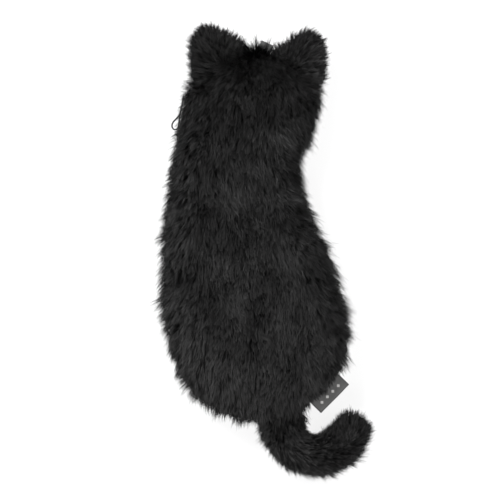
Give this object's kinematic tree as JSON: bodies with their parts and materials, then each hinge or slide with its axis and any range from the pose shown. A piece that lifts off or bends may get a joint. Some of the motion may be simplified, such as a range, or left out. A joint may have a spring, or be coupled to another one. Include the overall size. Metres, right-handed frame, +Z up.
{
  "type": "plush cat",
  "caption": "Long-pile plush cat lying flat, seen from its back, with a fibre-filled cushion inside a zipped fur cover, padded folding ears and a curled tail.",
  "frame": {"origin": "middle of the bounding box, on the face that the toy lies on", "axes": "+Y from the tail towards the ears, +X towards the side where the tail curls, +Z up from the face it lies on"},
  "size_m": [0.1522, 0.3395, 0.046],
  "materials": {
    "long_pile": "long shaggy pile, soft satin sheen on the hair",
    "backing_knit": "knitted backing",
    "cushion_case": "thin nonwoven",
    "polyester_fibre": "loose fibre",
    "zip_tape": "woven tape",
    "zip_coil": "nylon coil",
    "zip_metal": "black enamel",
    "woven_label": "fine damask weave",
    "ribbon": "narrow grosgrain ribbon",
    "waxed_cord": "round waxed braid, slightly glossy"
  },
  "bodies": {
    "torso": {"back_panel": "long_pile", "reverse_panel": "long_pile", "cushion_case_upper": "cushion_case", "cushion_case_lower": "cushion_case", "fibre_filling": "polyester_fibre", "zip_tape_upper": "zip_tape", "zip_tape_lower": "zip_tape", "zip_coil_upper": "zip_coil", "zip_coil_lower": "zip_coil", "zip_bottom_stop": "zip_metal", "zip_top_stops": "zip_metal"},
    "left_ear": {"left_ear_back": "long_pile", "left_ear_front": "long_pile", "left_ear_pad": "polyester_fibre", "left_ear_seam": "backing_knit"},
    "right_ear": {"right_ear_back": "long_pile", "right_ear_front": "long_pile", "right_ear_pad": "polyester_fibre", "right_ear_seam": "backing_knit"},
    "tail": {"tail_upper": "long_pile", "tail_lower": "long_pile", "tail_filling": "polyester_fibre", "tail_seam": "backing_knit"},
    "slider": {"zip_slider": "zip_metal", "slider_crown": "zip_metal"},
    "pull": {"zip_pull_tab": "zip_metal", "pull_cord": "waxed_cord"},
    "label": {"side_label": "woven_label"},
    "tab": {"top_tab": "ribbon"}
  },
  "joints": [
    {"name": "left_ear_fold", "type": "hinge", "parent": "torso", "child": "left_ear", "pos_m": [-0.0591, 0.12877, 0.023], "axis": [0.8657, 0.5006, 0], "range_deg": [-50, 50], "stiffness_Nm_per_rad": 0.02},
    {"name": "right_ear_fold", "type": "hinge", "parent": "torso", "child": "right_ear", "pos_m": [0.00887, 0.15109, 0.023], "axis": [0.8106, -0.5856, 0], "range_deg": [-50, 50], "stiffness_Nm_per_rad": 0.02},
    {"name": "tail_lift", "type": "hinge", "parent": "torso", "child": "tail", "pos_m": [0.0064, -0.1263, 0.0155], "axis": [-0.9806, -0.1959, 0], "range_deg": [-45, 50], "stiffness_Nm_per_rad": 0.05},
    {"name": "slider_travel", "type": "hinge", "parent": "torso", "child": "slider", "pos_m": [0.62425, -0.032, 0.023], "axis": [0, 0, 1], "range_deg": [0, 10.7]},
    {"name": "pull_tab_flip", "type": "hinge", "parent": "slider", "child": "pull", "pos_m": [-0.06241, 0.11395, 0.023], "axis": [0, 0, -1], "range_deg": [0, 130]},
    {"name": "label_flip", "type": "hinge", "parent": "torso", "child": "label", "pos_m": [0.04331, -0.10361, 0.023], "axis": [-0.6997, -0.7145, 0], "range_deg": [-55, 65], "stiffness_Nm_per_rad": 0.0006},
    {"name": "tab_flip", "type": "hinge", "parent": "torso", "child": "tab", "pos_m": [-0.0022, 0.15, 0.023], "axis": [0.9979, -0.0645, 0], "range_deg": [-60, 60], "stiffness_Nm_per_rad": 0.0006}
  ]
}
